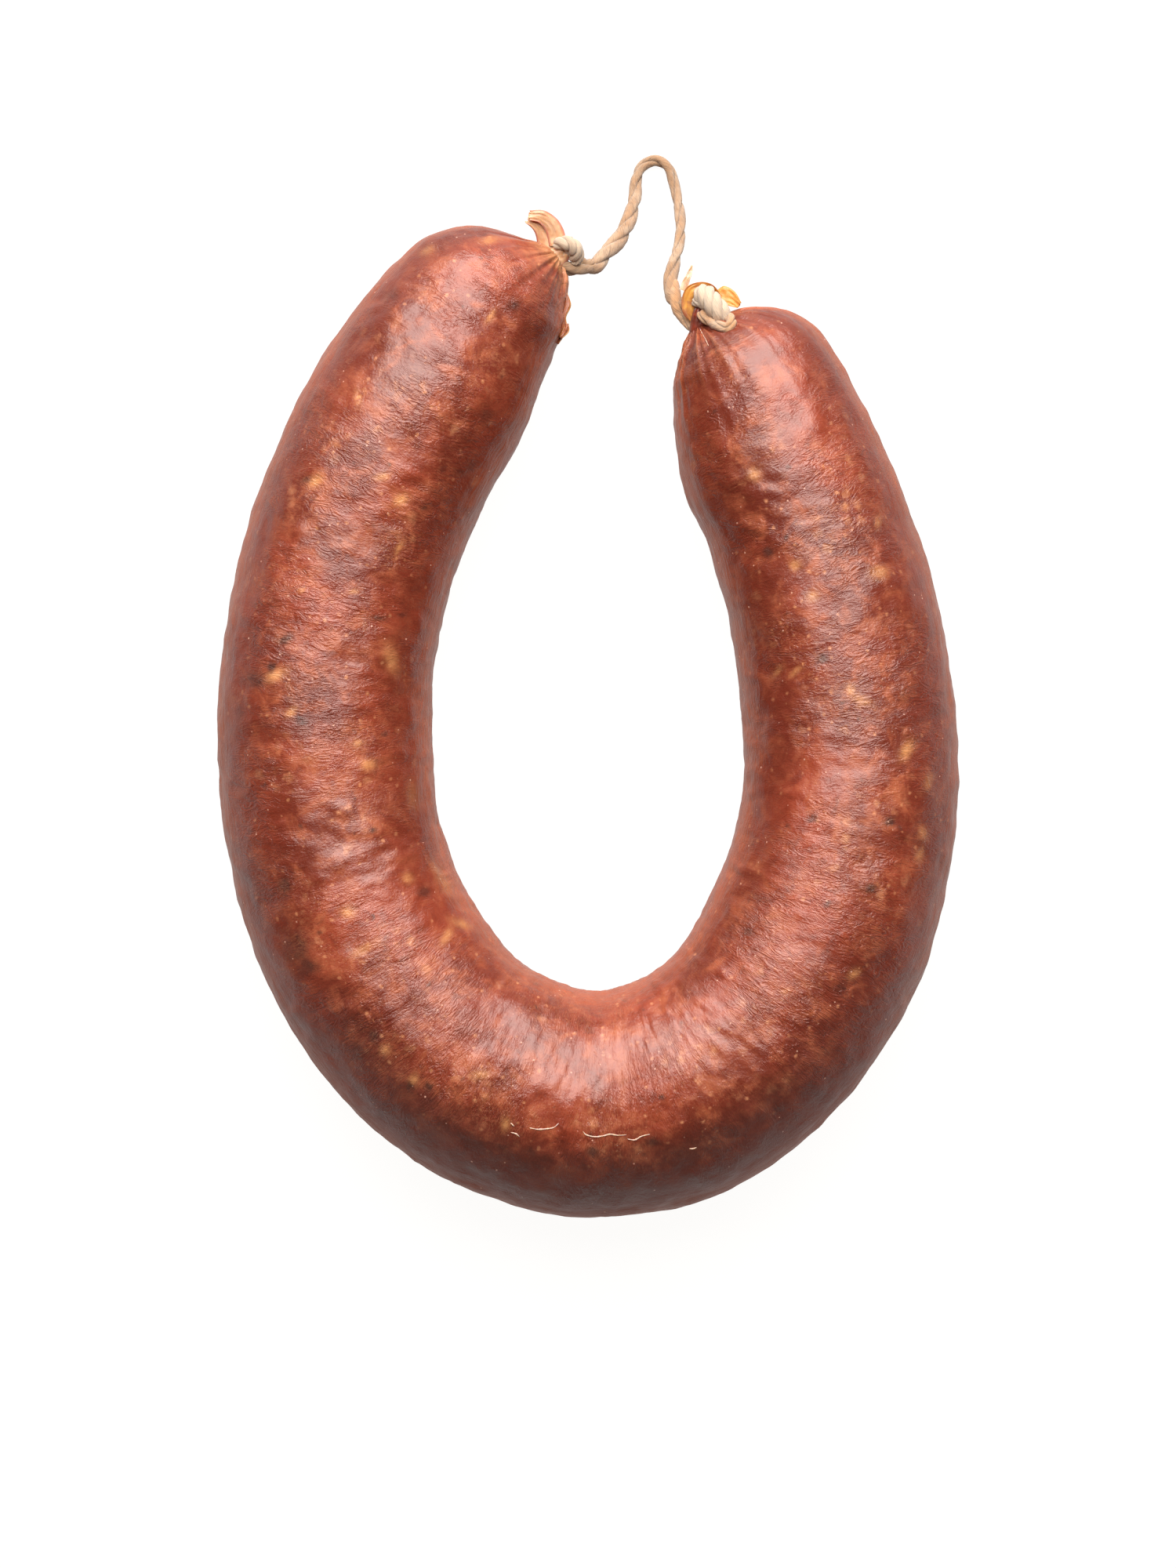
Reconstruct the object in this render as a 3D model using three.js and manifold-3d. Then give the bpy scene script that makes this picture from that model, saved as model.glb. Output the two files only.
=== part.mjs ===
// A smoked sausage bent into a U, its two casing ends tied with one length of twisted cotton string.
// Millimetres, +Z up. It lies flat on a surface at z = 0 with the U open towards +Y, and the origin is
// on that surface, under the middle of the sausage's bounding box.
import * as THREE from "three";
import { mergeVertices } from "three/addons/utils/BufferGeometryUtils.js";
import Module from "manifold-3d";

const wasm = await Module();
wasm.setup();

// ---- driving dimensions ----------------------------------------------------------------------------

const HEIGHT_SHARE = 0.95; // the sausage's height over its width, because it settles under its weight
const FOOT_SAG = 0.7; // how far its round underside is pressed flat on the surface
const END_HEIGHT = 17.2; // the middle of the tapering ends above the surface
const NECK_RADIUS = 1.0; // the gathered casing inside a tie
const CLEARANCE = 0.3; // between pieces that touch
const STRING_DIAMETER = 2.2;
const TURN_SPACING = 0.45; // of the string's diameter, from the middle of a tie to either turn

// Sections of the stuffed casing from its left tip round the bend to its right tip: x and y of the
// middle, half the width, and which way the outer side of the U faces there, in degrees from +X.
const STUFFED_SECTIONS = [
  [-5.6, 86.8, 1.5, 133],
  [-6.7, 86.8, 2.8, 134],
  [-7.9, 86.6, 4.6, 138],
  [-9.9, 86.5, 7.4, 141],
  [-12.4, 85.8, 10.4, 142],
  [-15.2, 84.2, 13.4, 144],
  [-18.3, 80.8, 16.3, 147],
  [-22.4, 75.8, 17.5, 151],
  [-28.6, 64.6, 19.7, 150],
  [-37.4, 49.1, 20.2, 154],
  [-44.2, 32.7, 20.1, 163],
  [-48.8, 12.6, 20.1, 173],
  [-49.8, -5.2, 20.2, 182],
  [-47.4, -25.8, 20.2, 193],
  [-41.6, -42.6, 20.6, 207],
  [-29.8, -59.6, 21.0, 224],
  [-15.2, -69.6, 21.4, 246],
  [2.1, -73.7, 21.4, 270],
  [19.3, -69.3, 21.4, 297],
  [33.2, -58.2, 21.3, 320],
  [43.7, -40.4, 21.2, 336],
  [48.5, -23.2, 20.6, 350],
  [49.7, -7.0, 20.1, 360],
  [48.6, 6.4, 19.8, 368],
  [46.0, 20.9, 19.5, 374],
  [40.7, 37.9, 19.0, 380],
  [36.0, 48.8, 18.8, 382],
  [32.6, 59.5, 17.3, 379],
  [31.2, 63.7, 16.0, 380],
  [29.3, 67.9, 14.4, 384],
  [27.2, 70.4, 12.0, 389],
  [24.9, 71.7, 9.1, 393],
  [22.7, 72.3, 5.6, 397],
  [21.3, 72.8, 2.7, 394],
  [21.0, 73.7, 1.6, 385],
];

// Each end of the casing runs from inside the stuffed part through its tie to its cut edge: x, y and z
// of the middle, half the width, half the thickness, and which way the width faces, in degrees.
const LEFT_END = [
  [-7.4, 86.3, 17.3, 1.8, 1.8, -47],
  [-5.1, 86.9, 17.5, NECK_RADIUS, NECK_RADIUS, -45],
  [-3.7, 88.3, 17.5, NECK_RADIUS, NECK_RADIUS, -45],
  [-2.3, 89.7, 17.5, NECK_RADIUS, NECK_RADIUS, -45],
  [-2.4, 91.3, 17.7, 1.1, 1.0, 20],
  [-4.3, 92.5, 18.5, 1.4, 0.9, 65],
  [-6.9, 92.2, 19.3, 1.8, 0.9, 82],
  [-9.2, 92.9, 20.2, 1.6, 0.8, 65],
  [-11.3, 93.8, 20.8, 1.1, 0.6, 65],
];
const RIGHT_END = [
  [21.1, 72.9, 17.2, 1.4, 1.4, 385],
  [20.6, 74.2, 18.4, 1.1, 1.1, 350],
  [21.1, 75.4, 18.7, NECK_RADIUS, NECK_RADIUS, 335],
  [21.9, 77.2, 18.7, NECK_RADIUS, NECK_RADIUS, 335],
  [22.9, 79.3, 18.7, NECK_RADIUS, NECK_RADIUS, 340],
  [23.6, 80.3, 18.5, 2.8, 1.0, 345],
  [24.3, 80.8, 18.3, 4.2, 0.7, 338],
];

// The ties: the middle of the turns round a neck, the way the neck runs in plan, and the string's own
// diameter there. The knot's last strand crosses over the turns.
const LEFT_TIE = {
  centre: [-3.7, 88.3, 17.5],
  heading: 45,
  diameter: 1.5,
  crossing: [
    [-1.7, 87.3, 17.5],
    [-1.7, 87.4, 19.5],
    [-3.7, 88.3, 20.9],
    [-5.7, 89.2, 19.5],
    [-5.7, 89.3, 17.5],
  ],
};
const RIGHT_TIE = {
  centre: [21.9, 77.2, 18.7],
  heading: 65,
  diameter: 1.9,
  crossing: [
    [24.3, 76.8, 18.7],
    [24.4, 76.6, 20.8],
    [22.3, 76.5, 22.3],
    [19.8, 77.0, 21.2],
    [19.4, 77.3, 18.7],
  ],
};

// The free string's route, from the left tie down onto the surface, round its bend and up to the right
// tie.
const STRING_ROUTE = [
  [-1.7, 86.4, 15.9],
  [-0.6, 85.3, 15.1],
  [1.2, 85.2, 14.1],
  [3.4, 88.0, 12.2],
  [6.3, 91.7, 8.9],
  [8.1, 95.9, 5.6],
  [9.0, 100.0, 2.7],
  [9.3, 103.5, 1.3],
  [10.4, 106.2, 1.15],
  [13.0, 107.5, 1.15],
  [15.6, 106.1, 1.15],
  [16.6, 103.3, 1.3],
  [17.4, 99.1, 2.9],
  [17.8, 94.6, 5.8],
  [17.5, 90.3, 8.8],
  [16.4, 86.1, 11.5],
  [15.6, 82.4, 13.5],
  [16.0, 79.2, 14.7],
  [17.4, 78.2, 15.6],
  [18.9, 77.6, 16.7],
];

// ---- solids ----------------------------------------------------------------------------------------

const UP = new THREE.Vector3(0, 0, 1);
const smoothCurve = (points) => new THREE.CatmullRomCurve3(points, false, "centripetal");
const inPlan = (degrees) => {
  const angle = THREE.MathUtils.degToRad(degrees);
  return new THREE.Vector3(Math.cos(angle), Math.sin(angle), 0);
};

/** A geometry as a manifold-3d solid, its shared vertices merged. */
function solid(geometry) {
  const bare = geometry.index ? geometry.toNonIndexed() : geometry.clone();
  bare.deleteAttribute("normal");
  bare.deleteAttribute("uv");
  const merged = mergeVertices(bare, 1e-3);
  return new wasm.Manifold(
    new wasm.Mesh({
      numProp: 3,
      vertProperties: merged.attributes.position.array,
      triVerts: new Uint32Array(merged.index.array),
    }),
  );
}

/** A manifold-3d solid as a geometry again. */
function geometryOf(made) {
  const mesh = made.getMesh();
  const geometry = new THREE.BufferGeometry();
  geometry.setAttribute("position", new THREE.BufferAttribute(mesh.vertProperties, mesh.numProp));
  geometry.setIndex(new THREE.BufferAttribute(mesh.triVerts, 1));
  geometry.computeVertexNormals();
  return geometry;
}

/**
 * A turned cylinder whose rings are carried onto the sections, with smooth curves between them. Both
 * ends close on the middle of the last section.
 */
function throughSections(sections, ringsEach, sides) {
  const rings = (sections.length - 1) * ringsEach;
  const profile = [new THREE.Vector2(0, 0)];
  for (let i = 0; i <= rings; i++) profile.push(new THREE.Vector2(1, i / rings));
  profile.push(new THREE.Vector2(0, 1));
  const geometry = new THREE.LatheGeometry(profile, sides);
  const middles = smoothCurve(sections.map(([x, y, z]) => new THREE.Vector3(x, y, z)));
  const widths = smoothCurve(sections.map((s) => inPlan(s[5]).multiplyScalar(s[3]).setZ(s[4])));
  const position = geometry.getAttribute("position");
  for (let i = 0; i < position.count; i++) {
    const t = THREE.MathUtils.clamp(position.getY(i), 0, 1);
    const width = widths.getPoint(t);
    const rise = width.z * position.getZ(i);
    const place = middles.getPoint(t).addScaledVector(width.setZ(0), position.getX(i));
    position.setXYZ(i, place.x, place.y, place.z + rise);
  }
  return geometry;
}

/** The stuffed part: nearly round in section, rounded off at both ends, and flat where it rests. */
function stuffedPart() {
  const sections = STUFFED_SECTIONS.map(([x, y, halfWidth, facing]) => {
    const halfHeight = halfWidth * HEIGHT_SHARE;
    const middle = Math.max(halfHeight - FOOT_SAG, END_HEIGHT);
    return [x, y, middle, halfWidth, halfHeight, facing];
  });
  const geometry = throughSections(sections, 3, 28);
  const position = geometry.getAttribute("position");
  for (let i = 0; i < position.count; i++) position.setZ(i, Math.max(0, position.getZ(i)));
  return solid(geometry);
}

/** A length of string along a smooth curve through the points. */
function stringThrough(points, diameter, steps) {
  const section = new THREE.Shape().absarc(0, 0, diameter / 2, 0, 2 * Math.PI);
  return new THREE.ExtrudeGeometry(section, {
    steps,
    curveSegments: 8,
    extrudePath: smoothCurve(points.map((point) => new THREE.Vector3(...point))),
    bevelEnabled: false,
  });
}

/** Two turns of string round a neck, side by side, with the knot's strand over them. */
function tie({ centre, heading, diameter, crossing }) {
  const along = inPlan(heading);
  let made = solid(stringThrough(crossing, diameter, 10));
  for (const side of [-1, 1]) {
    const turn = new THREE.TorusGeometry(NECK_RADIUS + CLEARANCE + diameter / 2, diameter / 2, 8, 20);
    turn.lookAt(along);
    const place = new THREE.Vector3(...centre).addScaledVector(along, side * TURN_SPACING * diameter);
    turn.translate(place.x, place.y, place.z);
    made = made.add(solid(turn));
  }
  return made;
}

// ---- the object ------------------------------------------------------------------------------------

const smokedCasing = new THREE.MeshStandardMaterial({
  color: 0x8a4433,
  roughness: 0.42,
  metalness: 0,
});
const cottonString = new THREE.MeshStandardMaterial({
  color: 0xd2b48c,
  roughness: 0.85,
  metalness: 0,
});

function node(name, geometry, material) {
  const mesh = new THREE.Mesh(geometry, material);
  mesh.name = name;
  return mesh;
}

const sausage = stuffedPart()
  .add(solid(throughSections(LEFT_END, 3, 12)))
  .add(solid(throughSections(RIGHT_END, 3, 12)));

const object = new THREE.Group();
object.name = "ring_sausage";
object.add(
  node("sausage", geometryOf(sausage), smokedCasing),
  node("tie_left", geometryOf(tie(LEFT_TIE)), cottonString),
  node("tie_right", geometryOf(tie(RIGHT_TIE)), cottonString),
  node("string", stringThrough(STRING_ROUTE, STRING_DIAMETER, 26), cottonString),
);

export default object;
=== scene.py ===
import math

import bmesh
import bpy
import numpy as np
from bpy.props import FloatProperty, FloatVectorProperty, IntProperty, PointerProperty
from bpy.types import Operator, Panel, PropertyGroup
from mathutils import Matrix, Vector, noise
from mathutils.bvhtree import BVHTree


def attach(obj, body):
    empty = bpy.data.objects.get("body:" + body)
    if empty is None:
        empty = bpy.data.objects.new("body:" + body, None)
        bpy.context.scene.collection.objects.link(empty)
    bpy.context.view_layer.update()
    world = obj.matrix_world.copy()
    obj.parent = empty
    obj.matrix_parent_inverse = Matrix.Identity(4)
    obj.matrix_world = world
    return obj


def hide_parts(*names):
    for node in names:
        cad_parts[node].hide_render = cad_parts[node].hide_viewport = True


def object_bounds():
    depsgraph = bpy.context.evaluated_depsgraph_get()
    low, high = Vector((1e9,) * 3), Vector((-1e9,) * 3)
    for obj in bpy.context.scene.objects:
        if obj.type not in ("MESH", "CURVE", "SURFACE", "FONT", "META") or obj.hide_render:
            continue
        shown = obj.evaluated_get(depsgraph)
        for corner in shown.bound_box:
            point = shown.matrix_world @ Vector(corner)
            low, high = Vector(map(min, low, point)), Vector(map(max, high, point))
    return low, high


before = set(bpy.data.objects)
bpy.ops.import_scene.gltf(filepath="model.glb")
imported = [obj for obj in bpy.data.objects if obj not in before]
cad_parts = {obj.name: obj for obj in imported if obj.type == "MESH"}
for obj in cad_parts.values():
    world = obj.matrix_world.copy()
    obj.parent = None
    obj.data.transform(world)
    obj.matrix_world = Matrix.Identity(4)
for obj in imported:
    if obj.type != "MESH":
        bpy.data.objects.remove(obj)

bl_info = {
    "name": "Tied smoked sausage",
    "version": (1, 0, 0),
    "blender": (4, 5, 0),
    "location": "View3D > Sidebar > Sausage",
    "description": "Builds a smoked sausage bent into a U, with its tied casing ends and string",
    "category": "Add Mesh",
}

CAD_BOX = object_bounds()
MM = 0.001
UP = np.array([0.0, 0.0, 1.0])

# Sections of the stuffed casing from its left tip round the bend to its right tip, in millimetres: x and
# y of the middle, half the width, and which way the outer side of the U faces there, in degrees.
STUFFED_SECTIONS = [
    (-5.6, 86.8, 1.5, 133), (-6.7, 86.8, 2.8, 134), (-7.9, 86.6, 4.6, 138), (-9.9, 86.5, 7.4, 141),
    (-12.4, 85.8, 10.4, 142), (-15.2, 84.2, 13.4, 144), (-18.3, 80.8, 16.3, 147), (-22.4, 75.8, 17.5, 151),
    (-28.6, 64.6, 19.7, 150), (-37.4, 49.1, 20.2, 154), (-44.2, 32.7, 20.1, 163), (-48.8, 12.6, 20.1, 173),
    (-49.8, -5.2, 20.2, 182), (-47.4, -25.8, 20.2, 193), (-41.6, -42.6, 20.6, 207), (-29.8, -59.6, 21.0, 224),
    (-15.2, -69.6, 21.4, 246), (2.1, -73.7, 21.4, 270), (19.3, -69.3, 21.4, 297), (33.2, -58.2, 21.3, 320),
    (43.7, -40.4, 21.2, 336), (48.5, -23.2, 20.6, 350), (49.7, -7.0, 20.1, 360), (48.6, 6.4, 19.8, 368),
    (46.0, 20.9, 19.5, 374), (40.7, 37.9, 19.0, 380), (36.0, 48.8, 18.8, 382), (32.6, 59.5, 17.3, 379),
    (31.2, 63.7, 16.0, 380), (29.3, 67.9, 14.4, 384), (27.2, 70.4, 12.0, 389), (24.9, 71.7, 9.1, 393),
    (22.7, 72.3, 5.6, 397), (21.3, 72.8, 2.7, 394), (21.0, 73.7, 1.6, 385),
]

# The free string's route in millimetres, from the left tie down onto the surface, round its bend and up
# to the right tie.
STRING_ROUTE = [
    (-1.7, 86.4, 15.9), (-0.6, 85.3, 15.1), (1.2, 85.2, 14.1), (3.4, 88.0, 12.2), (6.3, 91.7, 8.9),
    (8.1, 95.9, 5.6), (9.0, 100.0, 2.7), (9.3, 103.5, 1.3), (10.4, 106.2, 1.15), (13.0, 107.5, 1.15),
    (15.6, 106.1, 1.15), (16.6, 103.3, 1.3), (17.4, 99.1, 2.9), (17.8, 94.6, 5.8), (17.5, 90.3, 8.8),
    (16.4, 86.1, 11.5), (15.6, 82.4, 13.5), (16.0, 79.2, 14.7), (17.4, 78.2, 15.6), (18.9, 77.6, 16.7),
]

# Where the gathered casing leaves each stuffed end, and the way it points in plan, in degrees. Then the
# seed of its folds, how closely they follow each other round the neck and how far they reach, in mm.
LEFT_NECK = ((-5.6, 86.8, 17.3), 43, 6, 5.2, 6.5)
RIGHT_NECK = ((21.0, 73.9, 17.6), 115, 7, 6.4, 9.5)
CASING_RINGS, CASING_SIDES = 520, 180
TIP_RADIUS = 4  # the casing's relief dies out where its section is smaller than this, in mm


# ---- settings ---------------------------------------------------------------------------------------


def colour(name, description, default):
    return FloatVectorProperty(
        name=name, description=description, default=default, size=3, min=0, max=1, subtype="COLOR"
    )


def length_mm(name, description, default):
    return FloatProperty(
        name=name, description=description, default=default * MM, min=0, precision=5,
        unit="LENGTH", subtype="DISTANCE",
    )


class SAUSAGE_PG_casing(PropertyGroup):
    """Shape and colour of the smoked casing."""

    height_share: FloatProperty(
        name="Height share", description="Height of a section over its width", default=0.95, min=0.6, max=1.1
    )
    foot_sag: length_mm("Foot sag", "How far the round underside is pressed flat", 0.7)
    end_height: length_mm("End height", "Middle of the tapering ends above the surface", 17.2)
    lump_depth: length_mm("Lump depth", "Broad unevenness of the filling under the casing", 0.5)
    wrinkle_depth: length_mm("Wrinkle depth", "Fine shrinkage wrinkles across the sausage", 0.19)
    pucker_depth: length_mm("Pucker depth", "Folds where the casing gathers into a neck", 0.62)
    # also serves as painted shade down the sides and in the fold valleys
    deep: colour("Deep red", "Smoked meat in the dark parts", (0.115, 0.016, 0.007))
    middle: colour("Red brown", "Smoked meat over most of the surface", (0.245, 0.038, 0.015))
    # also serves as painted rim light on the lower sides
    warm: colour("Orange red", "Fat-rich meat", (0.35, 0.085, 0.032))
    # also serves as painted light on the crests of the gathers
    fat: colour("Fat", "Soft-edged pieces of fat under the casing", (0.58, 0.235, 0.105))
    bright_fat: colour("Bright fat", "The few largest pieces of fat", (0.62, 0.270, 0.095))
    pepper: colour("Pepper", "Pepper and dark crumbs under the casing", (0.040, 0.013, 0.009))
    # also serves as painted shade on the outside of the bend
    smoke: colour("Smoke", "Smoke-darkened casing", (0.062, 0.016, 0.010))
    dry_end: colour("Dry end", "Yellowed casing beside the left tie", (0.47, 0.21, 0.095))
    dot: colour("Dot", "Tiny pale dots on the casing", (0.75, 0.42, 0.30))


class SAUSAGE_PG_ends(PropertyGroup):
    """Colours of the empty casing beyond the ties."""

    amber: colour("Amber", "Dried casing that light comes through", (0.56, 0.25, 0.040))
    rim: colour("Rim", "Browned cut edge", (0.27, 0.075, 0.028))
    golden: colour("Golden", "The palest amber casing", (0.50, 0.205, 0.038))
    peach: colour("Peach", "Thin pale casing", (0.58, 0.33, 0.185))
    tan: colour("Tan", "Folds of the pale casing", (0.50, 0.245, 0.115))
    pale: colour("Pale", "Bleached slivers of casing", (0.66, 0.52, 0.40))
    blush: colour("Blush", "Pink edge of the left end", (0.46, 0.12, 0.095))
    crust: colour("Crust", "Dried scrap along the left end", (0.26, 0.082, 0.036))
    crack: colour("Crack", "Lifted pale skin", (0.62, 0.36, 0.26))
    rib: colour("Rib", "Pale ribs along the dried casing", (0.80, 0.55, 0.36))


class SAUSAGE_PG_string(PropertyGroup):
    """Sizes and colours of the cotton string."""

    diameter: length_mm("Diameter", "Thickness of the twisted string", 2.2)
    lay: length_mm("Lay", "Length of one full turn of the two plies", 15)
    steps: IntProperty(name="Steps", description="Rings along the free string", default=230, min=40, max=600)
    cream: colour("Cream", "Clean cotton", (0.56, 0.425, 0.305))
    tan: colour("Tan", "Smoked cotton", (0.365, 0.203, 0.105))
    golden: colour("Golden", "Cotton yellowed beside the right tie", (0.50, 0.255, 0.115))
    # also serves as painted shade in the grooves
    grime_and_shade: colour("Grime", "Smoke in the grooves between fibres", (0.10, 0.062, 0.042))


class SAUSAGE_PG_studio(PropertyGroup):
    """Floor, lights and camera."""

    lens: FloatProperty(name="Lens", description="Focal length in millimetres", default=90, min=20, max=200)
    view_height: length_mm("View height", "How much height the camera takes in at the sausage's middle", 296)
    key_power: FloatProperty(name="Softbox", description="Power of the large softbox in watts", default=24.5, min=0)
    fill: FloatProperty(name="Fill", description="Strength of the light from all round", default=0.07, min=0)
    floor: colour("Floor", "Plain pale floor", (0.06, 0.06, 0.06))
    floor_glow: FloatProperty(name="Floor glow", description="How bright the floor looks", default=0.97, min=0)
    bounce: FloatProperty(name="Bounce", description="How much light the floor throws back", default=0.78, min=0)


def settings(name):
    return getattr(bpy.context.scene, name)


# ---- curves and surfaces ----------------------------------------------------------------------------

# How finely a curve and the stuffed form are measured along their length.
FINE_POINTS, FINE_SHARES = 4000, 6000


def smooth_curve(points, shares):
    """Points on the centripetal curve through `points`, at shares 0 to 1 counted in equal steps a span."""
    p = np.asarray(points, float)
    ends = np.vstack([2 * p[0] - p[1], p, 2 * p[-1] - p[-2]])
    at = np.clip(shares, 0, 1) * (len(p) - 1)
    i = np.minimum(at.astype(int), len(p) - 2)
    w = (at - i)[:, None]
    p0, p1, p2, p3 = ends[i], ends[i + 1], ends[i + 2], ends[i + 3]

    def root_gap(a, b):
        return np.maximum(((a - b) ** 2).sum(1) ** 0.25, 1e-4)[:, None]

    d0, d1, d2 = root_gap(p0, p1), root_gap(p1, p2), root_gap(p2, p3)
    m1 = ((p1 - p0) / d0 - (p2 - p0) / (d0 + d1) + (p2 - p1) / d1) * d1
    m2 = ((p2 - p1) / d1 - (p3 - p1) / (d1 + d2) + (p3 - p2) / d2) * d1
    return p1 + m1 * w + (3 * (p2 - p1) - 2 * m1 - m2) * w**2 + (2 * (p1 - p2) + m1 + m2) * w**3


def even_curve(points, count):
    """`count` points evenly spaced along the smooth curve, and the distance of each from the start."""
    fine = smooth_curve(points, np.linspace(0, 1, FINE_POINTS))
    run = np.concatenate([[0], np.cumsum(np.linalg.norm(np.diff(fine, axis=0), axis=1))])
    want = np.linspace(0, run[-1], count)
    return np.stack([np.interp(want, run, fine[:, k]) for k in range(3)], axis=1), want


def unit(v):
    return v / np.maximum(np.linalg.norm(v, axis=-1, keepdims=True), 1e-12)


def in_plan(degrees):
    a = np.radians(degrees)
    return np.stack([np.cos(a), np.sin(a), np.zeros_like(a)], axis=-1)


def lumps(points, size, octaves=1, seed=0.0):
    """Smooth random heights, mostly from -1 to 1, with features about `size` across."""
    shift = Vector((seed * 13.7, seed * 5.3, seed * 9.1))
    basis = "PERLIN_ORIGINAL"
    scaled = points / size
    return np.array([noise.fractal(Vector(p) + shift, 1.0, 2.0, octaves, noise_basis=basis) for p in scaled])


def row_of(u, steps):
    """Which of the rows 0 to `steps` along a rolled sheet each share u belongs to."""
    return np.clip(np.round(u * steps).astype(int), 0, steps)


def fade(x, low, high):
    """0 below low, 1 above high and smooth between."""
    t = np.clip((x - low) / (high - low), 0, 1)
    return t * t * (3 - 2 * t)


def rolled_sheet(name, along, around, place):
    """A grid of along by around faces carried by place(u, v) -> (points in mm, {attribute: values}).
    Where its edges meet they are joined, so a rolled sheet is a closed tube with closed poles."""
    bm = bmesh.new()
    bm.loops.layers.uv.new("unrolled")
    bmesh.ops.create_grid(bm, x_segments=along, y_segments=around, size=0.5, calc_uvs=True)
    mesh = bpy.data.meshes.new(name)
    bm.to_mesh(mesh)
    bm.free()
    flat = np.empty(len(mesh.vertices) * 3)
    mesh.vertices.foreach_get("co", flat)
    flat = flat.reshape(-1, 3)
    low, high = flat[:, :2].min(0), flat[:, :2].max(0)
    u, v = ((flat[:, :2] - low) / (high - low)).T
    points, attributes = place(u, v)
    mesh.vertices.foreach_set("co", (points * MM).ravel())
    for key, values in attributes.items():
        vector = values.ndim == 2
        layer = mesh.attributes.new(key, "FLOAT_VECTOR" if vector else "FLOAT", "POINT")
        layer.data.foreach_set("vector" if vector else "value", np.ascontiguousarray(values, float).ravel())
    close_seams(mesh)
    return mesh


def close_seams(mesh):
    """Join what meets, and leave the faces smooth and outwards."""
    bm = bmesh.new()
    bm.from_mesh(mesh)
    bmesh.ops.remove_doubles(bm, verts=bm.verts, dist=1e-7)
    bmesh.ops.recalc_face_normals(bm, faces=bm.faces)
    for face in bm.faces:
        face.smooth = True
    bm.to_mesh(mesh)
    bm.free()


def grid_normals(points, u, v):
    """Outward directions on a rolled sheet's points, from its neighbours along and around."""
    order = np.lexsort((v, u))
    rows = len(np.unique(np.round(u, 7)))
    grid = points[order].reshape(rows, -1, 3)
    along = np.gradient(grid, axis=0)
    ring = np.concatenate([grid[:, -2:-1], grid, grid[:, 1:2]], axis=1)
    around = ring[:, 2:] - ring[:, :-2]
    out = unit(np.cross(around, along))
    found = np.empty_like(points)
    found[order] = out.reshape(-1, 3)
    return found


def add_piece(mesh, name, material, replaces=None):
    """A finished piece out of a mesh, with its material, on the body, and the part it replaces hidden."""
    piece = bpy.data.objects.new(name, mesh)
    bpy.context.scene.collection.objects.link(piece)
    mesh.materials.clear()
    mesh.materials.append(material)
    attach(piece, "root")
    if replaces:
        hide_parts(replaces)
    return piece


def joined(meshes, name):
    """One mesh out of several, their attributes kept."""
    bm = bmesh.new()
    for mesh in meshes:
        bm.from_mesh(mesh)
    whole = bpy.data.meshes.new(name)
    bm.to_mesh(whole)
    bm.free()
    for mesh in meshes:
        bpy.data.meshes.remove(mesh)
    return whole


# ---- the stuffed casing -----------------------------------------------------------------------------


class StuffedForm:
    """The stuffed casing as rings: a middle, an outward half width and a half height at each share."""

    def __init__(self, casing):
        rows = np.array(STUFFED_SECTIONS)
        sag, end = casing.foot_sag / MM, casing.end_height / MM
        half_height = rows[:, 2] * casing.height_share
        middle_z = np.maximum(half_height - sag, end)
        self.middles = np.column_stack([rows[:, :2], middle_z])
        self.widths = in_plan(rows[:, 3]) * rows[:, 2:3] + UP * half_height[:, None]
        shares = np.linspace(0, 1, FINE_SHARES)
        middle, out, _ = self.rings(shares)
        moved = [np.linalg.norm(np.diff(p, axis=0), axis=1) for p in (middle, middle + out, middle - out)]
        self.run = np.concatenate([[0], np.cumsum(np.max(moved, axis=0))])
        self.shares = shares

    def rings(self, shares):
        middle = smooth_curve(self.middles, shares)
        width = smooth_curve(self.widths, shares)
        out = width * (1, 1, 0)
        return middle, out, width[:, 2]

    def share_at(self, u):
        return np.interp(u * self.run[-1], self.run, self.shares)

    def surface(self, u, v):
        """Points at u along and v around: v is 0 on top, 0.25 outside, 0.5 underneath and 0.75 inside."""
        middle, out, high = self.rings(self.share_at(u))
        angle = 2 * np.pi * v
        points = middle + out * np.sin(angle)[:, None] + UP * (high * np.cos(angle))[:, None]
        closing = (u < 1e-9) | (u > 1 - 1e-9)
        points[closing] = middle[closing]
        return points, np.linalg.norm(out, axis=1)


def gathers(points, neck):
    """Folds that radiate from a neck, from -1 to 1, dying out away from it."""
    origin, heading, seed, count, reach = neck
    axis = in_plan(np.array(float(heading)))
    away = points - np.array(origin)
    distance = np.linalg.norm(away, axis=1)
    across = unit(away - axis * (away @ axis)[:, None])
    swirl = lumps(points, 9.0, 1, seed + 2)
    folds = lumps(across * count + swirl[:, None] * 0.18, 1.0, 2, seed)
    height = np.clip(np.abs(folds) * 3.2 - 0.75, -1, 1)
    return height * np.minimum(distance / 4.0, 1.0) * np.exp(-np.maximum(distance - 3.0, 0) / reach)


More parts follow.
